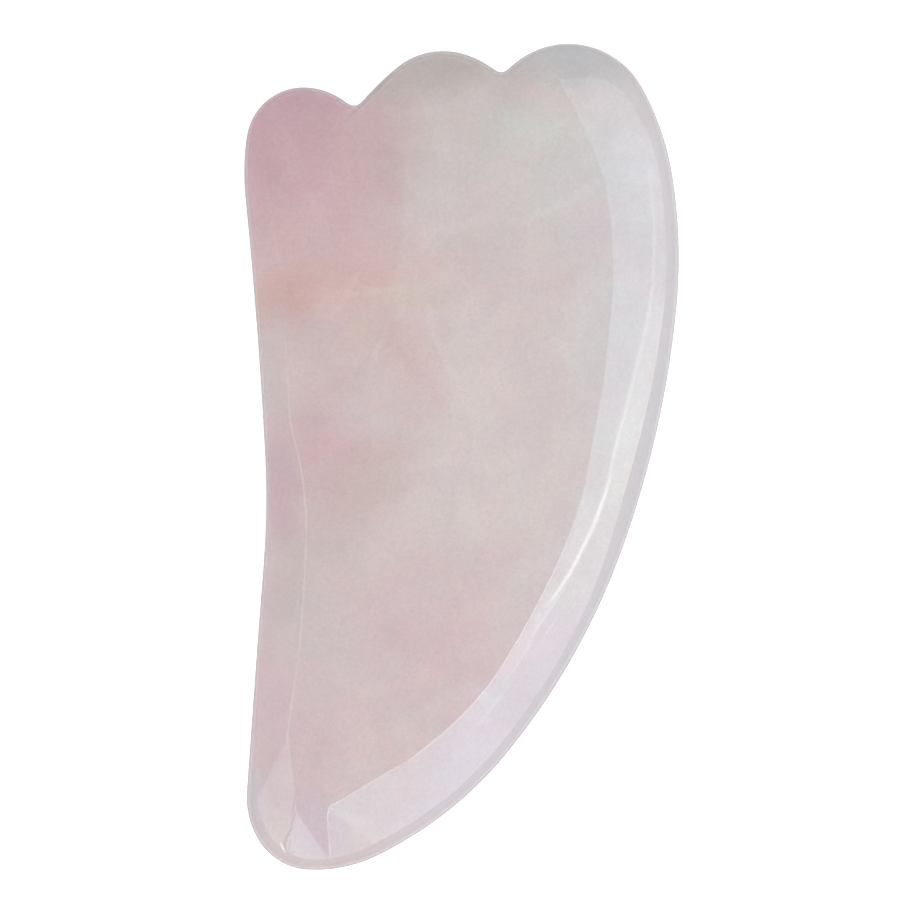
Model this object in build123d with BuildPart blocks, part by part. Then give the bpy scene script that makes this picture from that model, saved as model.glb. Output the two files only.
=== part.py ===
from build123d import *
import os
from math import cos, radians, sin, tan

os.makedirs("parts", exist_ok=True)

# Gua sha scraper: a hand tool for massage, ground and polished from one slab of rose quartz.
# It lies on its back face: Z = 0 is the back face and Z = THICKNESS the front face.
# +Y runs along its length, from the blunt tip to the three lobes. +X is the side of the long
# scraping edge, and -X the side of the hollow grip edge. X = Y = 0 is the middle of its outline.

THICKNESS = 6.5

# How the slab is ground: both faces slope down to the two long edges, which leaves these edges
# thinner than the lobes, and the rim is rounded over all the way round.
BEVEL_ANGLE = 11.0
RIM_RADIUS = 1.5
NOTCH_RADIUS = 1.2

# The outline is two chains of arcs, which meet at the two notches between the lobes. Each arc
# ends at the next of these points, and is tangent to the arc before it.
INNER_NOTCH = (5.4, 50.6)
OUTER_NOTCH = (-14.2, 46.1)
INNER_LOBE = [(17.4, 54.5), (24.0, 49.3), (28.0, 38.1)]
SCRAPING_EDGE = [(28.7, 20.2), (21.0, -13.5), (6.1, -39.5)]
TIP = [(-10.8, -53.0), (-20.5, -55.0), (-26.9, -51.3), (-28.6, -44.8)]
GRIP_EDGE = [(-26.4, -14.4), (-26.2, 0.5), (-28.8, 34.5)]
OUTER_LOBE = [(-28.6, 42.6), (-20.1, 49.1), OUTER_NOTCH]
MIDDLE_LOBE = [(-8.7, 51.7), (0.2, 53.6), INNER_NOTCH]

# Directions in which the two chains leave their notches, in degrees from +X
INNER_LOBE_HEADING = 52
MIDDLE_LOBE_HEADING = 51

# The two ridges on each face, where its flat middle ends and a bevel begins. They start beyond
# the lobes, cross near the tip and end beyond it.
SCRAPING_RIDGE = [
    (8.5, 57.5),
    (13.3, 49.5),
    (20.5, 23.7),
    (10.9, -18.9),
    (-16.4, -45.9),
    (-34.0, -53.0),
]
SCRAPING_RIDGE_HEADING = -59
GRIP_RIDGE = [
    (-29.3, 55.5),
    (-24.3, 23.9),
    (-21.1, -11.3),
    (-23.0, -38.4),
    (-21.0, -58.0),
]
GRIP_RIDGE_HEADING = -81

# The blanks that cut the bevels reach this far past the stone.
REACH = 90.0

# The stone is its sharp-edged core, grown by the rim radius on every side.
CORE_BOTTOM = RIM_RADIUS
CORE_MIDDLE = THICKNESS / 2
CORE_TOP = THICKNESS - RIM_RADIUS


def heading(angle):
    return (cos(radians(angle)), sin(radians(angle)))


def arc_chain(start, first_heading, points):
    """Draw arcs through the points, each tangent to the one before."""
    here = start
    direction = heading(first_heading)
    for point in points:
        arc = TangentArc(here, point, tangent=direction)
        here = arc @ 1
        direction = arc % 1


def bevel_blank(ridge, first_heading, side):
    """Everything on the flat side of a ridge, widening at the bevel angle towards mid-thickness."""
    bevel_width = (CORE_TOP - CORE_MIDDLE) / tan(radians(BEVEL_ANGLE))
    with BuildPart() as blank:
        for height, spread in ((CORE_BOTTOM, 0), (CORE_MIDDLE, bevel_width), (CORE_TOP, 0)):
            with BuildSketch(Plane.XY.offset(height)):
                with BuildLine():
                    arc_chain(ridge[0], first_heading, ridge[1:])
                    Polyline(ridge[-1], (side * REACH, -REACH), (side * REACH, REACH), ridge[0])
                make_face()
                if spread:
                    offset(amount=spread, kind=Kind.INTERSECTION)
        loft(ruled=True)
    return blank.part


with BuildPart() as scraper_stone:
    with BuildSketch(Plane.XY.offset(CORE_BOTTOM)) as outline:
        with BuildLine():
            arc_chain(
                INNER_NOTCH,
                INNER_LOBE_HEADING,
                INNER_LOBE + SCRAPING_EDGE + TIP + GRIP_EDGE + OUTER_LOBE,
            )
            arc_chain(OUTER_NOTCH, MIDDLE_LOBE_HEADING, MIDDLE_LOBE)
        make_face()
        corners = [
            outline.vertices().sort_by_distance(notch)[0] for notch in (INNER_NOTCH, OUTER_NOTCH)
        ]
        fillet(corners, NOTCH_RADIUS)
        offset(amount=-RIM_RADIUS, kind=Kind.ARC)
    extrude(amount=CORE_TOP - CORE_BOTTOM)
    add(bevel_blank(SCRAPING_RIDGE, SCRAPING_RIDGE_HEADING, -1), mode=Mode.INTERSECT)
    add(bevel_blank(GRIP_RIDGE, GRIP_RIDGE_HEADING, 1), mode=Mode.INTERSECT)
    offset(amount=RIM_RADIUS, kind=Kind.ARC)

scraper_stone.part.label = "scraper_stone"
export_step(scraper_stone.part, "parts/scraper_stone.step")
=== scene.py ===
"""Gua sha scraper: the looks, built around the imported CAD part.

Lengths below are in millimetres, in the part's own frame, unless a name ends in _M.
"""

import math

import bmesh
import bpy
import numpy as np
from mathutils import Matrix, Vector
from mathutils.geometry import delaunay_2d_cdt


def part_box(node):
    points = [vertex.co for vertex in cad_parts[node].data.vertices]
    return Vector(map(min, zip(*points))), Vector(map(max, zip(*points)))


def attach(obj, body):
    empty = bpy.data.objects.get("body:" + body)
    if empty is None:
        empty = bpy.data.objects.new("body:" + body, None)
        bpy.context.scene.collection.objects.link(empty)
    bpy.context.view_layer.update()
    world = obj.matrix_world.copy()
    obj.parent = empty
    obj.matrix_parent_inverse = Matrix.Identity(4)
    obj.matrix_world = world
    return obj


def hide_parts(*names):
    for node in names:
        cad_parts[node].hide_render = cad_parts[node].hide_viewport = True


MM = 0.001
NODE = "scraper_stone"

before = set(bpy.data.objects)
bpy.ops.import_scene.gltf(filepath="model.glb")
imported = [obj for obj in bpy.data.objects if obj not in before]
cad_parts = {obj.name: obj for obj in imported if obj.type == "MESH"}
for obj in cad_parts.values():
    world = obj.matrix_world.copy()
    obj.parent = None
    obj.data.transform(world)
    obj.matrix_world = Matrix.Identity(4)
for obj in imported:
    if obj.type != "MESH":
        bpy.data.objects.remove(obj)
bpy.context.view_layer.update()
box_low, box_high = (np.array(corner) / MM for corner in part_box(NODE))
THICKNESS = box_high[2] - box_low[2]
MIDDLE_Z = (box_low[2] + box_high[2]) / 2

# ---------------------------------------------------------------------------------------------
# Shape: where each face is ground
# ---------------------------------------------------------------------------------------------

# Ridges where the flat middle of a face ends, drawn from the lobes to the tip
SCRAPING_RIDGE = [
    (8.5, 57.5),
    (13.4, 49.2),
    (16.5, 43.2),
    (19.2, 35.5),
    (20.2, 24.0),
    (19.6, 16.8),
    (18.75, 9.0),
    (17.2, 0.8),
    (15.8, -6.2),
    (10.15, -19.5),
    (2.4, -31.8),
    (-6.2, -39.75),
    (-9.95, -42.05),
    (-13.55, -44.2),
    (-16.4, -45.9),
    (-26.0, -51.1),
    (-36.0, -56.5),
]
# Where the scraping bevel stops short of the tip, drawn downwards
TAIL_RIDGE = [
    (-17.0, -43.0),
    (-17.5, -46.0),
    (-17.9, -48.5),
    (-17.9, -51.0),
    (-18.3, -57.0),
]
GRIP_RIDGE = [
    (-29.3, 55.5),
    (-24.3, 25.0),
    (-23.2, 11.5),
    (-22.7, 4.3),
    (-21.5, -0.8),
    (-20.75, -7.0),
    (-20.75, -12.0),
    (-21.45, -24.0),
    (-22.0, -28.5),
    (-22.6, -32.7),
    (-23.15, -36.8),
    (-24.1, -43.1),
    (-26.1, -56.3),
]
# How steeply the stone is ground away outside them, in degrees
GRIP_SLOPE = 17.0
SCRAPING_SLOPE = 10.5
# How far the corners between ground faces are rounded over, in height. The corner at the end of
# the scraping bevel gets softer outwards, up to TAIL_BLEND_REACH from the scraping ridge.
RIDGE_BLEND = 0.03
GRIP_RIDGE_BLEND = 0.06
TAIL_BLEND = 0.3
TAIL_BLEND_GROWTH = 0.4
TAIL_BLEND_REACH = 5.0

# A second, steeper facet of the scraping bevel. It starts this far out from the ridge, as pairs
# of a Y and a distance.
OUTER_FACET_SLOPE = 12.5
OUTER_FACET_BLEND = 0.018
OUTER_FACET_START = [
    (60.0, 7.5),
    (38.0, 6.3),
    (34.0, 5.8),
    (26.0, 5.3),
    (18.0, 4.75),
    (7.5, 3.35),
    (-0.5, 2.95),
    (-8.5, 2.6),
    (-16.5, 1.75),
    (-20.5, 0.75),
    (-24.0, 1.25),
    (-26.5, 2.05),
    (-32.0, 2.75),
    (-37.0, 4.4),
    (-60.0, 8.0),
]

# Small flat facets at the tip: a point on each, the way it faces (degrees from +X), its slope
TIP_FACETS = [
    ((-23.15, -36.8), -173.0, 9.8),
    ((-22.1, -46.6), -136.8, 4.35),
    ((-20.0, -47.0), -99.0, 1.0),
]
TIP_BLEND = 0.01

# The rounded rim: how deep it is, the extra slope at which it leaves the face, and how wide it is
# at places round the outline. It is deeper where the face leans more, but always leaves some of
# the half thickness. The limits keep its ellipse from going flat or upright.
RIM_DEPTH = 1.7
RIM_DEPTH_BY_LEAN = 2.3
RIM_DEPTH_SHARE = 0.9
RIM_KICK = 0.10
RIM_STEEPNESS_LIMITS = (0.02, 0.45)
RIM_WIDTH_SMOOTHING = 12
RIM_WIDTH = [
    ((12.0, 54.8), 7.0),
    ((16.3, 54.9), 4.9),
    ((19.6, 53.7), 3.8),
    ((22.0, 52.0), 3.0),
    ((25.4, 46.8), 2.0),
    ((26.9, 43.5), 1.8),
    ((28.6, 33.0), 1.8),
    ((28.7, 21.0), 1.75),
    ((27.1, 7.5), 2.0),
    ((23.3, -6.0), 2.25),
    ((20.5, -13.0), 1.85),
    ((17.7, -19.0), 1.55),
    ((9.5, -32.5), 1.5),
    ((-0.8, -43.2), 1.6),
    ((-12.1, -53.2), 1.8),
    ((-21.5, -54.7), 1.5),
    ((-27.0, -52.0), 1.95),
    ((-28.7, -46.0), 1.6),
    ((-28.3, -39.0), 1.0),
    ((-27.0, -20.0), 0.7),
    ((-26.0, -5.0), 0.7),
    ((-27.0, 10.0), 0.8),
    ((-28.5, 30.0), 0.9),
    ((-26.0, 47.5), 1.1),
    ((-14.2, 46.7), 0.9),
    ((-3.5, 54.0), 1.2),
    ((5.4, 51.0), 0.9),
    ((8.5, 53.0), 2.2),
]

# Hand-polished faces are never quite true: gentle waves, as (height, wavelength), each made of
# a few crossed sines. The two sides of the stone start them at different phases.
FLAT_WAVES = (0.005, 19.0)
BEVEL_WAVES = (0.010, 8.0)
WAVE_COUNT = 5
WAVE_TURN = 2.4
WAVE_LENGTHENING = 0.23
WAVE_OFFSET = 1.7
WAVE_PHASE_OFFSET = 3
FRONT_PHASE = 0.4
BACK_PHASE = 2.9

# Points closer than this are one point: in the CAD mesh, and when a face is cut into triangles
WELD_DISTANCE_M = 1e-7
TRIANGLE_TOLERANCE = 1e-5
# Mesh density. The outline is read at fine steps, smoothed over a few of them, then drawn.
FINE_STEP = 0.1
OUTLINE_SMOOTHING = 3.5
OUTLINE_STEP = 0.32
# Rings over the rim, and where the last one lies, just short of the rim's end
RIM_RINGS = 7
LAST_RIM_RING = 0.97
# Curves are worked out at CURVE_STEP; rows of points lie along them, these distances aside
CURVE_STEP = 0.1
SPAN_SAMPLES = 60
RIDGE_STEP = 0.4
RIDGE_RAILS = (-0.7, -0.42, -0.24, -0.08, 0.08, 0.24, 0.42, 0.7)
RAIL_GAP = 0.12
# Rings just inside the rim: how far in, and every how many points of the ring
INNER_RINGS = [(0.35, 1), (0.9, 2)]
INNER_RING_GAP = 0.3
INNER_RING_SHARE = 0.8
BOUNDARY_STEP = 0.15
# The grid over the whole face, and a finer one over the facets of the tip
FACE_STEP = 1.25
FACE_GAP_SHARE = 0.6
FACE_RIM_GAP = 0.8
TIP_STEP = 0.35
TIP_GAP = 0.25
TIP_RIM_GAP = 0.2
TIP_BOXES = [((-27.0, -54.0), (-15.5, -45.5)), ((-27.0, -45.5), (-20.5, -35.0))]
TIP_RAIL = [(-23.3, -35.6), (-22.0, -46.2)]
# Distance over which the face's normals are measured
NORMAL_REACH = 0.02
# How many points are compared with a curve at a time
BLOCK = 2000
# How much a bend of a ridge may squeeze or stretch the distance along it
STRETCH_LIMITS = (0.3, 3.0)


def cad_outline():
    """The CAD part's outline at mid-thickness, as an ordered loop of points."""
    cut = bmesh.new()
    cut.from_mesh(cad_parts[NODE].data)
    bmesh.ops.remove_doubles(cut, verts=cut.verts, dist=WELD_DISTANCE_M)
    sliced = bmesh.ops.bisect_plane(
        cut,
        geom=cut.verts[:] + cut.edges[:] + cut.faces[:],
        plane_co=(0, 0, MIDDLE_Z * MM),
        plane_no=(0, 0, 1),
        clear_inner=True,
        clear_outer=True,
    )
    edges = {e for e in sliced["geom_cut"] if isinstance(e, bmesh.types.BMEdge)}
    first = min(edges, key=lambda e: tuple(e.verts[0].co) + tuple(e.verts[1].co))
    here, loop = first.verts[1], [first.verts[0]]
    used = {first}
    while here != loop[0]:
        loop.append(here)
        step = next(e for e in here.link_edges if e in edges and e not in used)
        used.add(step)
        here = step.other_vert(here)
    points = np.array([v.co[:2] for v in loop]) / MM
    cut.free()
    x, y = points.T
    area = np.sum(x * np.roll(y, -1) - y * np.roll(x, -1)) / 2
    return points if area > 0 else points[::-1]


def even_loop(points, step):
    """The closed loop at even steps."""
    closed = np.vstack([points, points[:1]])
    lengths = np.hypot(*np.diff(closed, axis=0).T)
    along = np.concatenate([[0], np.cumsum(lengths)])
    count = round(along[-1] / step)
    at = np.arange(count) * along[-1] / count
    return np.column_stack([np.interp(at, along, closed[:, i]) for i in (0, 1)])


def smooth_loop(points, sigma):
    """Gaussian smoothing of a closed loop, sigma in steps."""
    frequency = np.fft.fftfreq(len(points))
    keep = np.exp(-2 * (math.pi * sigma * frequency) ** 2)
    return np.real(np.fft.ifft(np.fft.fft(points, axis=0) * keep[:, None], axis=0))


def inward_normals(loop):
    """Unit vectors into the stone, for a loop that runs anticlockwise."""
    along = np.roll(loop, -1, axis=0) - np.roll(loop, 1, axis=0)
    along /= np.hypot(*along.T)[:, None]
    return np.column_stack([-along[:, 1], along[:, 0]])


def spline(points, step):
    """A smooth curve through given points, at even steps (centripetal Catmull-Rom)."""
    p = np.array(points, float)
    p = np.vstack([2 * p[0] - p[1], p, 2 * p[-1] - p[-2]])
    knots = np.concatenate([[0], np.cumsum(np.hypot(*np.diff(p, axis=0).T) ** 0.5)])
    dense = []
    for i in range(1, len(p) - 2):
        t = np.linspace(knots[i], knots[i + 1], SPAN_SAMPLES, endpoint=False)[:, None]
        t0, t1, t2, t3 = knots[i - 1 : i + 3]
        a1 = (t1 - t) / (t1 - t0) * p[i - 1] + (t - t0) / (t1 - t0) * p[i]
        a2 = (t2 - t) / (t2 - t1) * p[i] + (t - t1) / (t2 - t1) * p[i + 1]
        a3 = (t3 - t) / (t3 - t2) * p[i + 1] + (t - t2) / (t3 - t2) * p[i + 2]
        b1 = (t2 - t) / (t2 - t0) * a1 + (t - t0) / (t2 - t0) * a2
        b2 = (t3 - t) / (t3 - t1) * a2 + (t - t1) / (t3 - t1) * a3
        dense.append((t2 - t) / (t2 - t1) * b1 + (t - t1) / (t2 - t1) * b2)
    dense = np.vstack(dense + [p[-2:-1]])
    along = np.concatenate([[0], np.cumsum(np.hypot(*np.diff(dense, axis=0).T))])
    at = np.arange(0, along[-1], step)
    return np.column_stack([np.interp(at, along, dense[:, i]) for i in (0, 1)])


def nearest(points, curve):
    """Index of the curve point nearest to each point."""
    found = np.empty(len(points), int)
    for start in range(0, len(points), BLOCK):
        block = points[start : start + BLOCK]
        gap = ((block[:, None, :] - curve[None, :, :]) ** 2).sum(2)
        found[start : start + BLOCK] = gap.argmin(1)
    return found


class Ridge:
    """A curve on a face. Its outer side is on the left as the curve runs, or on the right."""

    def __init__(self, points, outer_on_left):
        self.curve = spline(points, CURVE_STEP)
        self.along = np.gradient(self.curve, axis=0)
        self.along /= np.hypot(*self.along.T)[:, None]
        side = 1 if outer_on_left else -1
        self.outward = side * np.column_stack([-self.along[:, 1], self.along[:, 0]])
        heading = np.unwrap(np.arctan2(self.along[:, 1], self.along[:, 0]))
        self.outward_bend = side * np.gradient(heading) / CURVE_STEP

    def distance(self, points):
        """How far outside the ridge each point lies, and the Y of the nearest ridge point."""
        i = nearest(points, self.curve)
        gap = points - self.curve[i]
        out = (gap * self.outward[i]).sum(1)
        stretch = np.clip(1 - self.outward_bend[i] * out, *STRETCH_LIMITS)
        forward = np.clip((gap * self.along[i]).sum(1) / stretch, -CURVE_STEP, CURVE_STEP)
        return out, self.curve[i, 1] + forward * self.along[i, 1]


def smooth_min(first, second, blend):
    """The lower of two heights, with the corner between them rounded over."""
    share = np.clip(0.5 + (second - first) / (2 * blend), 0, 1)
    return second + (first - second) * share - blend * share * (1 - share)


def waves(points, height, wavelength, phase):
    """Gentle bumps, from a few crossed sine waves of different lengths."""
    total = np.zeros(len(points))
    for k in range(WAVE_COUNT):
        turn = phase + WAVE_TURN * k
        frequency = 2 * math.pi / (wavelength * (1 + WAVE_LENGTHENING * k))
        across = points @ np.array([math.cos(turn), math.sin(turn)])
        total += np.sin(frequency * across + WAVE_OFFSET * k + WAVE_PHASE_OFFSET * phase)
    return height * total / WAVE_COUNT


scraping_ridge = Ridge(SCRAPING_RIDGE, outer_on_left=True)
tail_ridge = Ridge(TAIL_RIDGE, outer_on_left=True)
grip_ridge = Ridge(GRIP_RIDGE, outer_on_left=False)
tip_ridge = Ridge(TIP_RAIL, outer_on_left=False)


def facet_starts(ridge_y):
    """How far out from the scraping ridge the outer facet starts, at places along it."""
    places, starts = np.array(OUTER_FACET_START[::-1]).T
    return np.interp(ridge_y, places, starts)


def slope(degrees):
    """How much a plane tilted by these degrees falls over a distance of one."""
    return math.tan(math.radians(degrees))


def half_height(points, phase):
    """Height of a ground face above mid-thickness, before the rim is rounded."""
    flat = THICKNESS / 2
    out, ridge_y = scraping_ridge.distance(points)
    tail_out, _ = tail_ridge.distance(points)
    tail_blend = TAIL_BLEND + TAIL_BLEND_GROWTH * np.clip(out, 0, TAIL_BLEND_REACH)
    out = smooth_min(out, tail_out, tail_blend)
    facet_start = facet_starts(ridge_y)
    inner = flat - slope(SCRAPING_SLOPE) * out
    outer = (
        flat
        - slope(SCRAPING_SLOPE) * facet_start
        - slope(OUTER_FACET_SLOPE) * (out - facet_start)
    )
    bevel = smooth_min(inner, outer, OUTER_FACET_BLEND)
    grip_out, _ = grip_ridge.distance(points)
    grip = flat - slope(GRIP_SLOPE) * grip_out
    for (x, y), facing, steepness in TIP_FACETS:
        way = np.array([math.cos(math.radians(facing)), math.sin(math.radians(facing))])
        facet = flat - slope(steepness) * ((points - np.array([x, y])) @ way)
        bevel = smooth_min(bevel, facet, TIP_BLEND)
    bevel += waves(points, *BEVEL_WAVES, phase)
    top = smooth_min(flat + waves(points, *FLAT_WAVES, phase) - FLAT_WAVES[0], bevel, RIDGE_BLEND)
    return smooth_min(top, grip + waves(points, *BEVEL_WAVES, phase), GRIP_RIDGE_BLEND)


def around(loop, places):
    """Values given at a few places round the outline, blended smoothly along it."""
    spots = np.array([place for place, _ in places])
    values = np.array([value for _, value in places])
    at = nearest(spots, loop)
    order = np.argsort(at)
    at, values = at[order], values[order]
    count = len(loop)
    at = np.concatenate([at - count, at, at + count])
    values = np.tile(values, 3)
    stepped = np.interp(np.arange(count), at, values)
    return smooth_loop(stepped[:, None], RIM_WIDTH_SMOOTHING)[:, 0]


def rim_rings(loop, inward, width, phase):
    """Rings over the rounded rim of one face, from the edge inwards: places, heights, normals.

    The profile is part of an ellipse. It starts upright at the edge and lands on the face.
    """
    landing = loop + inward * width[:, None]
    top = half_height(landing, phase)
    landing_normal = face_normals(landing, phase)
    lean = -(landing_normal[:, :2] * inward).sum(1) / landing_normal[:, 2]
    depth = np.maximum(RIM_DEPTH, RIM_DEPTH_BY_LEAN * lean * width)
    depth = np.minimum(depth, RIM_DEPTH_SHARE * top)
    steepness = np.clip((lean + RIM_KICK) * width / depth, *RIM_STEEPNESS_LIMITS)
    cosine = steepness / (1 - steepness)
    last = np.arccos(cosine)
    reach = width / (1 - cosine)
    height = depth / np.sin(last)
    along = np.column_stack([inward[:, 1], -inward[:, 0]])
    drift = (landing_normal[:, :2] * along).sum(1)
    rings = []
    for part in np.append(np.arange(RIM_RINGS) / RIM_RINGS, LAST_RIM_RING):
        angle = last * part
        place = loop + inward * (reach * (1 - np.cos(angle)))[:, None]
        outward = -inward * (height * np.cos(angle))[:, None]
        sideways = along * (drift * reach * part)[:, None]
        normal = np.column_stack([outward + sideways, reach * np.sin(angle)])
        normal /= np.linalg.norm(normal, axis=1)[:, None]
        rings.append((place, top - depth + height * np.sin(angle), normal))
    rings.append((landing, top, landing_normal))
    return rings


def inside(points, loop):
    """Whether each point lies inside the loop."""
    x, y = points.T
    odd = np.zeros(len(points), bool)
    for (ax, ay), (bx, by) in zip(loop, np.roll(loop, -1, axis=0)):
        crosses = (ay > y) != (by > y)
        with np.errstate(divide="ignore", invalid="ignore"):
            odd ^= crosses & (x < (bx - ax) * (y - ay) / (by - ay) + ax)
    return odd


def clear_of(points, others, gap):
    """The points that lie further than the gap from all the others."""
    if not len(others):
        return points
    return points[np.hypot(*(points - others[nearest(points, others)]).T) > gap]


def hexagon_grid(low, high, step):
    """Points at even distances over a box, each row shifted by half a step."""
    rows = np.arange(low[1], high[1], step * math.sqrt(3) / 2)
    columns = np.arange(low[0], high[0], step)
    return np.array([(x + step / 2 * (i % 2), y) for i, y in enumerate(rows) for x in columns])


def ridge_rails():
    """Rows of points along each ridge, close enough together to carve it crisply."""
    every = round(RIDGE_STEP / CURVE_STEP)
    rails = []
    for ridge in (scraping_ridge, grip_ridge, tip_ridge, tail_ridge):
        for rail in RIDGE_RAILS:
            rails.append((ridge.curve + ridge.outward * rail)[::every])
    facet_line = facet_starts(scraping_ridge.curve[:, 1])
    for rail in RIDGE_RAILS:
        out = facet_line + rail
        rails.append((scraping_ridge.curve + scraping_ridge.outward * out[:, None])[::every])
    return rails


def face_points(loop, inner_ring):
    """Points over the ground face inside the rim, dense where it bends."""
    inward = inward_normals(inner_ring)
    # Sets of points, with the gaps they keep from points already taken and from the rim
    wanted = [(rail, RAIL_GAP, RAIL_GAP) for rail in ridge_rails()]
    for corners in TIP_BOXES:
        wanted.append((hexagon_grid(*corners, TIP_STEP), TIP_GAP, TIP_RIM_GAP))
    for depth, every in INNER_RINGS:
        ring = (inner_ring + inward * depth)[::every]
        wanted.append((ring, INNER_RING_GAP, depth * INNER_RING_SHARE))
    grid = hexagon_grid(loop.min(0), loop.max(0), FACE_STEP)
    wanted.append((grid, FACE_STEP * FACE_GAP_SHARE, FACE_RIM_GAP))
    boundary = even_loop(inner_ring, BOUNDARY_STEP)
    taken = np.empty((0, 2))
    for points, gap, rim_gap in wanted:
        points = points[inside(points, inner_ring)]
        points = clear_of(points, boundary, rim_gap)
        points = clear_of(points, taken, gap)
        taken = np.vstack([taken, points])
    return taken


def face_normals(points, phase):
    """Normals of the ground face, from its height just beside each point."""
    aside, along = (NORMAL_REACH, 0), (0, NORMAL_REACH)
    rise_x = half_height(points + aside, phase) - half_height(points - aside, phase)
    rise_y = half_height(points + along, phase) - half_height(points - along, phase)
    span = 2 * NORMAL_REACH
    normals = np.column_stack([-rise_x / span, -rise_y / span, np.ones(len(points))])
    return normals / np.linalg.norm(normals, axis=1)[:, None]


def face_triangles(inner_ring, points):
    """Triangles over the ring and the points inside it, as indices into both together."""
    together = np.vstack([inner_ring, points])
    count = len(inner_ring)
    border = [(i, (i + 1) % count) for i in range(count)]
    placed, _, triangles, origin, _, _ = delaunay_2d_cdt(
        [Vector(point) for point in together], border, [], 0, TRIANGLE_TOLERANCE, True
    )
    source = np.array([places[0] for places in origin])
    placed = np.array([tuple(point) for point in placed])
    triangles = np.array(triangles)
    triangles = triangles[inside(placed[triangles].mean(1), inner_ring)]
    return source[triangles]


def stone_side(loop, side, phase):
    """Vertices, normals and faces of one half of the stone: its rim rings, then its face."""
    inward = inward_normals(loop)
    rings = rim_rings(loop, inward, around(loop, RIM_WIDTH), phase)
    count = len(loop)
    places = [place for place, _, _ in rings]
    heights = [height for _, height, _ in rings]
    normals = [normal for _, _, normal in rings]
    faces = []
    for k in range(len(rings) - 1):
        for i in range(count):
            a, b = k * count + i, k * count + (i + 1) % count
            faces.append((a, b, b + count, a + count))
    inner_ring = places[-1]
    points = face_points(loop, inner_ring)
    ring_start = (len(rings) - 1) * count
    faces += (face_triangles(inner_ring, points) + ring_start).tolist()
    places.append(points)
    heights.append(half_height(points, phase))
    normals.append(face_normals(points, phase))
    vertices = np.column_stack([np.vstack(places), side * np.concatenate(heights)])
    normals = np.vstack(normals) * (1, 1, side)
    if side < 0:
        faces = [face[::-1] for face in faces]
    return vertices + (0, 0, MIDDLE_Z), normals, faces


def build_stone():
    """The whole stone: front half, back half and the narrow band between them."""
    fine = even_loop(cad_outline(), FINE_STEP)
    loop = even_loop(smooth_loop(fine, OUTLINE_SMOOTHING), OUTLINE_STEP)
    front, front_normals, faces = stone_side(loop, 1, FRONT_PHASE)
    back, back_normals, back_faces = stone_side(loop, -1, BACK_PHASE)
    start = len(front)
    faces += [tuple(start + corner for corner in face) for face in back_faces]
    count = len(loop)
    for i in range(count):
        j = (i + 1) % count
        faces.append((start + i, start + j, j, i))
    mesh = bpy.data.meshes.new("rose_quartz_scraper")
    mesh.from_pydata((np.vstack([front, back]) * MM).tolist(), [], faces)
    mesh.polygons.foreach_set("use_smooth", [True] * len(mesh.polygons))
    mesh.normals_split_custom_set_from_vertices(np.vstack([front_normals, back_normals]).tolist())
    stone = bpy.data.objects.new("rose_quartz_scraper", mesh)
    bpy.context.scene.collection.objects.link(stone)
    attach(stone, "root")
    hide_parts(NODE)
    return stone


# ---------------------------------------------------------------------------------------------
# Material: polished rose quartz
# ---------------------------------------------------------------------------------------------


def linear(red, green, blue):
    """A colour given as it looks on a screen, 0 to 255, in the renderer's linear values."""
    values = [v / 255 for v in (red, green, blue)]
    return tuple(
        v / 12.92 if v <= 0.04045 else ((v + 0.055) / 1.055) ** 2.4 for v in values
    ) + (1.0,)


def own_colour(*tone):
    """The stone's own colour, for a look that includes the mirrored sky."""
    return tuple(v - MIRRORED for v in linear(*tone)[:3]) + (1.0,)


def add_node(tree, kind, inputs=(), **settings):
    """A node with its settings made and its inputs set, or linked where a socket is given."""
    node = tree.nodes.new(kind)
    for name, value in settings.items():
        setattr(node, name, value)
    for name, value in dict(inputs).items():
        if isinstance(value, bpy.types.NodeSocket):
            tree.links.new(value, node.inputs[name])
        else:
            node.inputs[name].default_value = value
    return node


def calculate(tree, operation, *values):
    """One step of arithmetic on numbers and sockets."""
    return add_node(tree, "ShaderNodeMath", enumerate(values), operation=operation).outputs[0]


def vector_step(tree, operation, inputs):
    """One step of arithmetic on vectors or colours."""
    return add_node(tree, "ShaderNodeVectorMath", inputs, operation=operation).outputs[0]


def ramp(tree, value, start, end, low=0.0, high=1.0):
    """Smooth change from low to high as the value goes from start to end."""
    inputs = {"Value": value, "From Min": start, "From Max": end, "To Min": low, "To Max": high}
    node = add_node(tree, "ShaderNodeMapRange", inputs, interpolation_type="SMOOTHSTEP")
    return node.outputs["Result"]


def mixed(tree, amount, first, second):
    """A colour mix. Both colours may be sockets."""
    node = add_node(tree, "ShaderNodeMix", data_type="RGBA")
    sockets = {"Factor": node.inputs[0], "A": node.inputs[6], "B": node.inputs[7]}
    for name, value in (("Factor", amount), ("A", first), ("B", second)):
        if isinstance(value, bpy.types.NodeSocket):
            tree.links.new(value, sockets[name])
        else:
            sockets[name].default_value = value
    return node.outputs[2]


def noise(tree, where, size, detail=3.0, roughness=0.5, distortion=0.0):
    """Cloud noise whose features are about this many millimetres across."""
    inputs = {
        "Vector": where,
        "Scale": 1 / (size * MM),
        "Detail": detail,
        "Roughness": roughness,
        "Distortion": distortion,
    }
    return add_node(tree, "ShaderNodeTexNoise", inputs)


def warped(tree, where, size, reach, detail=2.0):
    """The position, pushed about by noise, so that what is drawn with it gets ragged borders."""
    push = noise(tree, where, size, detail).outputs["Color"]
    centred = vector_step(tree, "SUBTRACT", {0: push, 1: (0.5, 0.5, 0.5)})
    scaled = vector_step(tree, "SCALE", {0: centred, "Scale": reach * MM})
    return vector_step(tree, "ADD", {0: where, 1: scaled})


# Colours below are how the stone looks on a screen from straight above, which is its own colour
# and this much mirrored sky
BODY = (211, 196, 194)
MIRRORED = 0.035
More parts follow.
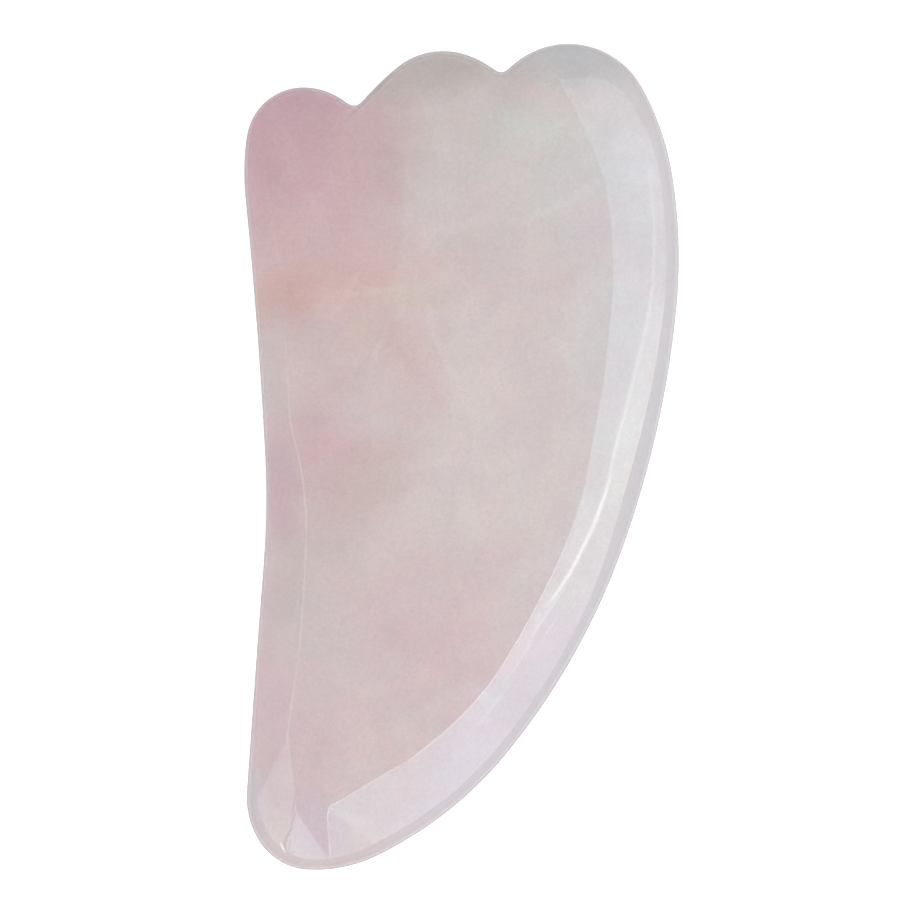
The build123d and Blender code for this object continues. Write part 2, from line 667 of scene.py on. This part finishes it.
# Clouds in the stone, and on the scraping bevel some painted highlights and reflection: middle,
# half-sizes, turn in degrees, softness, strength, colour. All reach this deep, so that they show
# alike on both faces and on the rim.
CLOUD_DEPTH = 14.0
CLOUDS_AND_PAINTED_SHEEN = [
    # broad changes of the whole body
    ((5.0, 41.0), (22.0, 15.0), 0, 0.60, 0.90, (206, 196, 193)),
    ((9.0, 3.0), (12.0, 18.0), 0, 0.80, 0.60, (213, 202, 199)),
    ((-18.0, -1.5), (9.0, 15.0), 0, 0.70, 0.85, (203, 183, 181)),
    ((-10.0, -33.0), (17.0, 15.0), 0, 0.70, 0.70, (212, 192, 192)),
    # along the scraping bevel: paler, cooler patches, partly the stone's own colour and partly
    # painted reflection of the soft boxes
    ((26.0, 14.0), (6.0, 34.0), 6, 0.50, 0.60, (210, 207, 209)),
    ((20.5, -8.0), (4.5, 15.0), -22, 0.60, 0.60, (212, 207, 206)),
    ((18.3, 12.0), (4.5, 13.0), 0, 0.60, 0.50, (211, 206, 206)),
    ((16.8, 34.0), (4.0, 12.0), 0, 0.60, 0.55, (206, 203, 203)),
    ((10.0, -34.0), (6.0, 28.0), -42, 0.50, 0.60, (215, 203, 211)),
    ((9.0, -18.5), (2.2, 9.0), -36, 0.70, 0.45, (214, 206, 206)),
    # the pink outer lobe and its fading edges
    ((-20.5, 33.0), (12.2, 20.0), 0, 0.50, 0.90, (205, 179, 181)),
    ((-9.5, 44.5), (3.8, 8.0), 0, 0.80, 0.75, (194, 176, 172)),
    ((-14.3, 42.5), (5.8, 9.5), 0, 0.60, 0.85, (198, 169, 172)),
    ((-24.3, 42.8), (6.6, 10.0), 0, 0.60, 0.90, (196, 162, 169)),
    ((-21.0, 49.0), (9.0, 4.5), 0, 0.70, 0.60, (190, 161, 168)),
    ((-17.0, 31.0), (7.0, 8.0), 20, 0.60, 0.35, (207, 179, 181)),
    ((-20.2, 38.0), (3.4, 4.0), 0, 0.80, 0.50, (207, 174, 180)),
    # salmon and peach streaks under it
    ((-15.5, 23.3), (12.0, 3.8), 14, 0.80, 0.75, (210, 181, 174)),
    ((-24.0, 20.5), (4.2, 3.0), 25, 0.80, 0.55, (205, 164, 158)),
    ((-6.0, 21.8), (4.5, 2.2), -5, 0.80, 0.60, (210, 192, 180)),
    ((-11.7, 17.0), (4.2, 3.2), 0, 0.80, 0.80, (206, 184, 176)),
    # grey-green and white clouds of the middle and inner lobes
    ((5.5, 45.0), (7.5, 3.6), 0, 0.70, 0.60, (199, 197, 192)),
    ((12.0, 37.0), (5.0, 6.0), -20, 0.70, 0.60, (208, 204, 201)),
    ((18.0, 31.0), (2.6, 3.6), 0, 0.80, 0.40, (210, 195, 198)),
    # the lobes darken towards their top edge
    ((-2.5, 54.5), (13.0, 6.0), 0, 0.60, 0.95, (186, 177, 173)),
    ((15.0, 56.2), (12.0, 5.5), -12, 0.60, 0.90, (188, 186, 186)),
    # brown and mauve clouds of the middle
    ((-6.5, 12.5), (5.5, 5.5), 0, 0.80, 0.85, (207, 185, 183)),
    ((-19.3, 1.5), (4.4, 5.5), 0, 0.80, 0.75, (204, 175, 179)),
    ((-13.5, -3.8), (5.2, 4.6), 0, 0.80, 0.60, (201, 181, 176)),
    ((-12.5, 8.0), (4.0, 1.8), 10, 0.90, 0.40, (213, 198, 196)),
    ((-12.8, 4.4), (3.4, 2.7), 0, 0.70, 0.60, (210, 195, 195)),
    ((-16.3, 4.6), (2.4, 2.4), 0, 0.70, 0.45, (208, 191, 192)),
    ((-24.5, 29.5), (4.0, 4.0), 0, 0.80, 0.60, (203, 176, 175)),
    ((9.8, 44.5), (4.0, 3.0), 0, 0.80, 0.50, (211, 209, 205)),
    ((-2.2, 44.6), (5.0, 2.6), 0, 0.80, 0.50, (199, 186, 183)),
    ((1.4, 31.0), (4.5, 4.5), 0, 0.80, 0.40, (204, 189, 188)),
    ((9.0, 24.8), (9.0, 2.6), 0, 0.80, 0.50, (207, 191, 191)),
    ((20.0, 27.0), (3.5, 4.5), 0, 0.80, 0.45, (210, 198, 199)),
    ((15.7, 4.9), (2.6, 3.0), 0, 0.80, 0.50, (207, 195, 195)),
    # the next two: painted highlights on the scraping bevel, where it mirrors the soft boxes
    ((23.9, 39.4), (2.5, 4.5), 0, 0.80, 0.40, (220, 217, 220)),
    ((11.0, -22.8), (4.0, 1.8), 58, 0.70, 0.40, (224, 213, 223)),
    # more brown and mauve clouds of the middle
    ((-0.1, 24.8), (3.0, 3.0), 0, 0.80, 0.50, (208, 193, 189)),
    ((-20.0, -23.5), (6.5, 3.2), 0, 0.80, 0.55, (201, 186, 184)),
    ((3.9, -15.2), (3.5, 3.2), 0, 0.80, 0.50, (205, 189, 190)),
    ((-24.6, -43.2), (2.4, 4.0), 0, 0.80, 0.50, (200, 184, 187)),
    ((-14.5, -9.8), (5.0, 4.0), 0, 0.80, 0.50, (206, 190, 188)),
    ((6.0, -3.0), (12.0, 8.0), 0, 0.90, 0.40, (213, 203, 200)),
    # grip edge
    ((-25.5, 11.0), (2.4, 7.0), 0, 0.70, 0.55, (198, 189, 186)),
    ((-25.2, -4.0), (2.2, 6.5), 0, 0.70, 0.80, (200, 174, 180)),
    ((-23.5, -18.0), (3.2, 7.0), 0, 0.70, 0.70, (200, 188, 185)),
    ((-19.5, -24.5), (6.0, 5.0), 0, 0.70, 0.70, (204, 189, 190)),
    # pink patch towards the tip
    ((-3.0, -21.5), (11.0, 10.0), 15, 0.70, 0.55, (211, 189, 190)),
    ((-8.8, -21.9), (3.0, 2.6), 0, 0.80, 0.40, (209, 180, 184)),
    ((-2.0, -26.0), (4.0, 2.6), 20, 0.80, 0.40, (211, 184, 188)),
    ((3.0, -24.0), (2.8, 2.4), 0, 0.80, 0.40, (211, 184, 188)),
    ((-19.5, -40.0), (3.0, 8.5), 5, 0.70, 0.55, (207, 184, 187)),
    ((-25.0, -33.5), (3.2, 6.5), 0, 0.70, 0.65, (206, 181, 187)),
    # mauve at the very tip
    ((-19.9, -49.8), (3.2, 4.4), 0, 0.60, 0.60, (207, 190, 200)),
    ((-27.9, -46.0), (1.6, 8.0), 11, 0.60, 0.70, (207, 198, 203)),
]
# Painted shading: the rounded rim is painted greyer than the faces, and painted dark at its
# outermost edge, where the surface turns away from the eye
RIM_SHADE_TONE = (208, 204, 208)
RIM_TURN = (0.025, 0.10)
RIM_SHADE_STRENGTH = 0.55
EDGE_SHADE_TONE = (125, 116, 120)
EDGE_TURN = (0.40, 0.85)
# The painted grey shading of the rim is weak at the grip edge and at the lobes: from and to, in X
# and in Y, with how much of it there is at both ends
RIM_ACROSS = (-28.0, 8.0, 0.15, 1.0)
RIM_ALONG = (42.0, 53.0, 1.0, 0.25)
# What the slope of a level face counts for, and how much that of an upright one
LEVEL_TURN = 0.02
UPRIGHT_TURN = 1.17
# Pale veins: the same as clouds, but long and thin
VEINS = [
    ((-1.5, 30.0), (5.0, 0.6), 9, 0.8, 0.18, (220, 212, 208)),
    ((12.5, 33.3), (5.5, 0.6), 26, 0.8, 0.30, (218, 212, 209)),
    ((-10.0, 22.0), (6.5, 0.5), 5, 0.8, 0.35, (220, 202, 193)),
    ((-11.5, 13.0), (4.5, 0.45), 75, 0.8, 0.30, (218, 203, 200)),
    ((-2.0, 14.5), (7.5, 0.5), -68, 0.8, 0.25, (219, 210, 207)),
    ((-7.0, 33.0), (12.0, 0.6), 88, 0.8, 0.20, (214, 204, 202)),
    ((-15.5, 21.0), (4.0, 0.4), 50, 0.8, 0.30, (218, 198, 190)),
]
# Painted shade along the edge of the deepest notch, then a painted dark line of shade down the
# ridge in the middle of the tip with a painted glint beside it: drawn like veins, but mostly
# darker
PAINTED_SHADE_AND_GLINTS = [
    ((-11.4, 48.7), (4.2, 0.30), 46, 0.6, 0.65, (160, 151, 155)),
    ((-22.25, -46.2), (1.2, 0.13), 84, 0.8, 0.40, (180, 161, 166)),
    ((-22.35, -48.2), (1.2, 0.15), 73, 0.7, 0.50, (180, 162, 167)),
    ((-22.95, -50.1), (1.2, 0.16), 62, 0.7, 0.55, (178, 160, 166)),
    ((-23.45, -51.7), (0.8, 0.16), 94, 0.8, 0.55, (178, 160, 166)),
    ((-22.85, -51.6), (1.1, 0.10), 80, 0.8, 0.40, (184, 168, 172)),
    ((-23.75, -51.9), (0.7, 0.14), -66, 0.7, 0.80, (240, 238, 240)),
    ((-22.5, -52.6), (0.4, 0.13), 30, 0.7, 0.60, (190, 182, 186)),
]
# Grinding marks on the scraping bevel, with their shine as painted highlights: pale streaks
GRIND_MARK_HIGHLIGHTS = [
    ((12.9, -18.0), (3.8, 0.30), 58, 0.8, 0.30, (234, 228, 228)),
    ((12.2, -19.8), (2.6, 0.14), 57, 0.8, 0.35, (238, 232, 233)),
    ((10.4, -22.2), (2.2, 0.20), 59, 0.8, 0.35, (236, 230, 231)),
    ((11.7, -22.8), (1.6, 0.14), 57, 0.8, 0.30, (236, 230, 232)),
    ((8.3, -26.2), (3.0, 0.16), 56, 0.9, 0.22, (234, 227, 230)),
    ((4.6, -32.6), (3.0, 0.14), 53, 0.9, 0.22, (234, 226, 230)),
]
# Noise that makes the borders of clouds and veins ragged: size, reach and detail
BROAD_DRIFT = (16.0, 9.0)
FINE_DRIFT = (3.5, 2.2, 3.0)
VEIN_DRIFT = (9.0, 4.0)
# Mottling: size, detail and roughness of the noise, the part of it that counts, and the tints
# at its low and high end
HAZE = ((7.0, 4.0, 0.55), (0.3, 0.7), (0.965, 0.955, 0.955, 1), (1.03, 1.02, 1.012, 1))
BLUSH = ((4.2, 5.0, 0.6), (0.35, 0.65), (1.01, 0.975, 0.985, 1), (0.995, 1.012, 1.005, 1))
GRAIN = ((0.8, 6.0, 0.65), (0.3, 0.7), (0.975, 0.975, 0.975, 1), (1.02, 1.02, 1.02, 1))
SPECKLE = ((0.3, 2.0, 0.6), (0.3, 0.7), (0.97, 0.965, 0.965, 1), (1.03, 1.035, 1.035, 1))
# The polish: how rough it is, and faint ripples left by hand polishing
POLISH = ((2.5, 5.0, 0.6), (0.3, 0.7), 0.05, 0.09)
RIPPLE = (1.8, 2.0, 0.5)
RIPPLE_STRENGTH = 0.25
RIPPLE_HEIGHT = 0.01
# Quartz: its refractive index, and how light spreads under the surface
IOR = 1.544
SCATTER_WEIGHT = 0.35
SCATTER_RADIUS = (1.0, 0.75, 0.72)
SCATTER_SCALE = 2.5


def painted(tree, colour, where, shapes):
    """Blend each shape's colour in where the position falls inside it: clouds, veins, painted
    shade and painted highlights.
    """
    for middle, half_sizes, turn, softness, strength, tone in shapes:
        local = add_node(
            tree,
            "ShaderNodeMapping",
            {
                "Vector": where,
                "Location": (middle[0] * MM, middle[1] * MM, MIDDLE_Z * MM),
                "Rotation": (0, 0, math.radians(turn)),
                "Scale": (half_sizes[0] * MM, half_sizes[1] * MM, CLOUD_DEPTH * MM),
            },
            vector_type="TEXTURE",
        )
        length = add_node(
            tree, "ShaderNodeVectorMath", {0: local.outputs[0]}, operation="LENGTH"
        )
        distance = length.outputs["Value"]
        amount = ramp(tree, distance, 1 - softness, 1 + softness, strength, 0.0)
        colour = mixed(tree, amount, colour, own_colour(*tone))
    return colour


def mottled(tree, colour, where, mottling):
    """Multiply the colour by a tint that varies with noise."""
    texture, part, low_tint, high_tint = mottling
    amount = ramp(tree, noise(tree, where, *texture).outputs["Fac"], *part)
    node = add_node(tree, "ShaderNodeMix", data_type="RGBA", blend_type="MULTIPLY")
    node.inputs[0].default_value = 1.0
    tree.links.new(colour, node.inputs[6])
    tree.links.new(mixed(tree, amount, low_tint, high_tint), node.inputs[7])
    return node.outputs[2]


def turned_away(tree):
    """How far the surface turns away from the eye, but no further than it slopes from level.

    The faces of the stone stay near zero this way, also when they are seen at a glance.
    """
    glancing = add_node(tree, "ShaderNodeLayerWeight", {"Blend": 0.5}).outputs["Facing"]
    normal = add_node(tree, "ShaderNodeNewGeometry").outputs["Normal"]
    upright = add_node(tree, "ShaderNodeSeparateXYZ", {0: normal}).outputs["Z"]
    level = calculate(tree, "ABSOLUTE", upright)
    sloping = calculate(tree, "MULTIPLY_ADD", level, LEVEL_TURN - UPRIGHT_TURN, UPRIGHT_TURN)
    return calculate(tree, "MINIMUM", glancing, sloping)


def stone_colour(tree, position):
    """Clouds, veins and mottling all through the stone, with painted shade lines, a painted glint
    and painted highlights on grinding marks.
    """
    drifting = warped(tree, warped(tree, position, *BROAD_DRIFT), *FINE_DRIFT)
    ragged = warped(tree, position, *VEIN_DRIFT)
    colour = painted(tree, own_colour(*BODY), drifting, CLOUDS_AND_PAINTED_SHEEN)
    colour = painted(tree, colour, ragged, VEINS)
    # painted shade lines and glint, then painted highlights on the grinding marks
    colour = painted(tree, colour, position, PAINTED_SHADE_AND_GLINTS + GRIND_MARK_HIGHLIGHTS)
    colour = mottled(tree, colour, drifting, HAZE)
    colour = mottled(tree, colour, ragged, BLUSH)
    colour = mottled(tree, colour, position, GRAIN)
    return mottled(tree, colour, position, SPECKLE)


def with_rim_shade(tree, colour, position):
    """The colour with painted shading: greyer on the rounded rim and dark at its outermost edge.
    """
    turn = turned_away(tree)
    place = add_node(tree, "ShaderNodeSeparateXYZ", {0: position}).outputs
    rim_shade_amount = ramp(tree, turn, *RIM_TURN, 0.0, RIM_SHADE_STRENGTH)
    for axis, (start, end, low, high) in (("X", RIM_ACROSS), ("Y", RIM_ALONG)):
        share = ramp(tree, place[axis], start * MM, end * MM, low, high)
        rim_shade_amount = calculate(tree, "MULTIPLY", rim_shade_amount, share)
    # painted shading: grey over the rim, then dark at its outermost edge
    colour = mixed(tree, rim_shade_amount, colour, own_colour(*RIM_SHADE_TONE))
    return mixed(tree, ramp(tree, turn, *EDGE_TURN), colour, own_colour(*EDGE_SHADE_TONE))


def rose_quartz():
    """The stone's material: polished, a little translucent, clouded and veined."""
    material = bpy.data.materials.new("polished_rose_quartz")
    material.use_nodes = True
    tree = material.node_tree
    tree.nodes.clear()
    position = add_node(tree, "ShaderNodeTexCoord").outputs["Object"]
    colour = with_rim_shade(tree, stone_colour(tree, position), position)
    polish_texture, polish_part, smoothest, roughest = POLISH
    polish = noise(tree, position, *polish_texture).outputs["Fac"]
    ripple = noise(tree, position, *RIPPLE).outputs["Fac"]
    bump_inputs = {"Height": ripple, "Strength": RIPPLE_STRENGTH, "Distance": RIPPLE_HEIGHT * MM}
    bump = add_node(tree, "ShaderNodeBump", bump_inputs)
    shader = add_node(
        tree,
        "ShaderNodeBsdfPrincipled",
        {
            "Base Color": colour,
            "Roughness": ramp(tree, polish, *polish_part, smoothest, roughest),
            "IOR": IOR,
            "Subsurface Weight": SCATTER_WEIGHT,
            "Subsurface Radius": SCATTER_RADIUS,
            "Subsurface Scale": SCATTER_SCALE * MM,
            "Normal": bump.outputs["Normal"],
        },
    )
    add_node(tree, "ShaderNodeOutputMaterial", {"Surface": shader.outputs[0]})
    return material


# ---------------------------------------------------------------------------------------------
# Studio: white floor, soft light from above, camera looking straight down
# ---------------------------------------------------------------------------------------------

# The camera is this high above the middle of the stone and sees this much of it across
CAMERA_HEIGHT = 800.0
VIEW_WIDTH = 119.95
AIM = (-1.53, 0.86)
SENSOR_WIDTH = 36.0


def build_camera():
    """A camera that looks straight down at the stone."""
    data = bpy.data.cameras.new("camera")
    data.sensor_width = SENSOR_WIDTH
    data.lens = data.sensor_width * CAMERA_HEIGHT / VIEW_WIDTH
    camera = bpy.data.objects.new("camera", data)
    camera.location = Vector((AIM[0], AIM[1], MIDDLE_Z + CAMERA_HEIGHT)) * MM
    bpy.context.scene.collection.objects.link(camera)
    bpy.context.scene.camera = camera


FLOOR_HALF_SIZE_M = 1.5
FLOOR_COLOUR = (0.6, 0.6, 0.6, 1)
FLOOR_ROUGHNESS = 0.6
FLOOR_GLOW = 0.85
FLOOR_GLOW_COLOUR = (1, 1, 1, 1)
FLOOR_GAP = 0.02


def build_floor():
    """A plain white light table, just under the stone."""
    half = FLOOR_HALF_SIZE_M
    z = (box_low[2] - FLOOR_GAP) * MM
    corners = [(-half, -half, z), (half, -half, z), (half, half, z), (-half, half, z)]
    mesh = bpy.data.meshes.new("floor")
    mesh.from_pydata(corners, [], [(0, 1, 2, 3)])
    material = bpy.data.materials.new("white_floor")
    material.use_nodes = True
    shader = material.node_tree.nodes["Principled BSDF"]
    shader.inputs["Base Color"].default_value = FLOOR_COLOUR
    shader.inputs["Roughness"].default_value = FLOOR_ROUGHNESS
    shader.inputs["Emission Color"].default_value = FLOOR_GLOW_COLOUR
    shader.inputs["Emission Strength"].default_value = FLOOR_GLOW
    mesh.materials.append(material)
    floor = bpy.data.objects.new("floor", mesh)
    bpy.context.scene.collection.objects.link(floor)


# The sky brightens from the horizon up to where its height is SKY_TOP
SKY_OVERHEAD = 0.968
SKY_HORIZON = 0.40
SKY_TOP = 0.9
# Soft boxes, laid out as on a flat ceiling at height 1 over the stone: by how many degrees the
# way across is turned, from and to across, from and to along (Y), the softness of the edges both
# ways, and the light. They shine through one round opening, which fades out between two radii.
LOWEST_HEIGHT = 0.001
OPENING = (0.56, 0.64)
SOFT_BOXES = [
    (0, (0.125, 2.0), (-2.0, 0.34), (0.03, 0.03), (0.85, 1.18, 1.35)),
    (0, (0.125, 2.0), (-2.0, 0.02), (0.03, 0.06), (0.42, 0.62, 0.72)),
    (0, (0.125, 2.0), (-2.0, -0.36), (0.03, 0.05), (0.15, 0.30, 0.50)),
    (0, (0.125, 0.325), (-0.34, -0.20), (0.03, 0.05), (0.64, 1.05, 1.20)),
    (0, (0.440, 2.0), (-0.125, -0.03), (0.03, 0.04), (1.15, 1.25, 0.85)),
    (-14, (0.434, 0.472), (-0.235, -0.095), (0.008, 0.025), (5.4, 5.4, 5.0)),
    (-10, (0.405, 0.450), (-0.17, -0.115), (0.012, 0.015), (1.5, 1.6, 1.5)),
    (-24, (0.365, 0.450), (-0.260, -0.190), (0.02, 0.02), (1.2, 1.2, 1.1)),
    (-10, (0.452, 0.483), (-0.10, 0.09), (0.008, 0.03), (2.1, 2.1, 2.1)),
    (0, (0.425, 0.485), (0.08, 0.16), (0.012, 0.02), (1.3, 1.4, 1.4)),
    (-10, (0.545, 0.585), (-0.22, 0.08), (0.010, 0.04), (3.0, 3.0, 3.0)),
    (-50, (0.100, 0.230), (-0.30, -0.08), (0.020, 0.04), (4.6, 4.4, 4.4)),
    (0, (-0.42, -0.105), (-0.45, -0.03), (0.02, 0.04), (1.25, 1.25, 1.4)),
    (0, (-0.30, -0.12), (-0.055, 0.003), (0.02, 0.012), (1.2, 1.2, 1.2)),
    (0, (-0.24, -0.105), (-0.26, -0.09), (0.02, 0.03), (0.6, 0.9, 1.1)),
]


def soft_edge(tree, value, start, end, soft):
    """One between start and end, fading to zero outside them."""
    rise = ramp(tree, value, start - soft, start + soft)
    fall = ramp(tree, value, end - soft, end + soft, 1.0, 0.0)
    return calculate(tree, "MULTIPLY", rise, fall)


def build_sky():
    """A pale sky with soft boxes in it."""
    world = bpy.data.worlds.new("studio")
    bpy.context.scene.world = world
    world.use_nodes = True
    tree = world.node_tree
    tree.nodes.clear()
    direction = add_node(tree, "ShaderNodeTexCoord").outputs["Generated"]
    parts = add_node(tree, "ShaderNodeSeparateXYZ", {0: direction}).outputs
    up = calculate(tree, "MAXIMUM", parts["Z"], LOWEST_HEIGHT)
    across = calculate(tree, "DIVIDE", parts["X"], up)
    along = calculate(tree, "DIVIDE", parts["Y"], up)
    across_squared = calculate(tree, "MULTIPLY", across, across)
    along_squared = calculate(tree, "MULTIPLY", along, along)
    radius = calculate(tree, "SQRT", calculate(tree, "ADD", across_squared, along_squared))
    opening = ramp(tree, radius, *OPENING, 1.0, 0.0)
    level = ramp(tree, parts["Z"], 0.0, SKY_TOP, SKY_HORIZON, SKY_OVERHEAD)
    colour = add_node(tree, "ShaderNodeCombineXYZ", {0: level, 1: level, 2: level}).outputs[0]
    for degrees, across_range, along_range, (soft_across, soft_along), light in SOFT_BOXES:
        turn = math.radians(degrees)
        part_across = calculate(tree, "MULTIPLY", across, math.cos(turn))
        part_along = calculate(tree, "MULTIPLY", along, math.sin(turn))
        turned = calculate(tree, "ADD", part_across, part_along)
        amount_across = soft_edge(tree, turned, *across_range, soft_across)
        amount_along = soft_edge(tree, along, *along_range, soft_along)
        amount = calculate(tree, "MULTIPLY", amount_across, amount_along)
        amount = calculate(tree, "MULTIPLY", amount, opening)
        glow = vector_step(tree, "SCALE", {0: light, "Scale": amount})
        colour = vector_step(tree, "ADD", {0: colour, 1: glow})
    background = add_node(tree, "ShaderNodeBackground", {"Color": colour, "Strength": 1.0})
    add_node(tree, "ShaderNodeOutputWorld", {"Surface": background.outputs[0]})


stone = build_stone()
stone.data.materials.append(rose_quartz())
build_camera()
build_floor()
build_sky()
bpy.context.scene.view_settings.view_transform = "Standard"
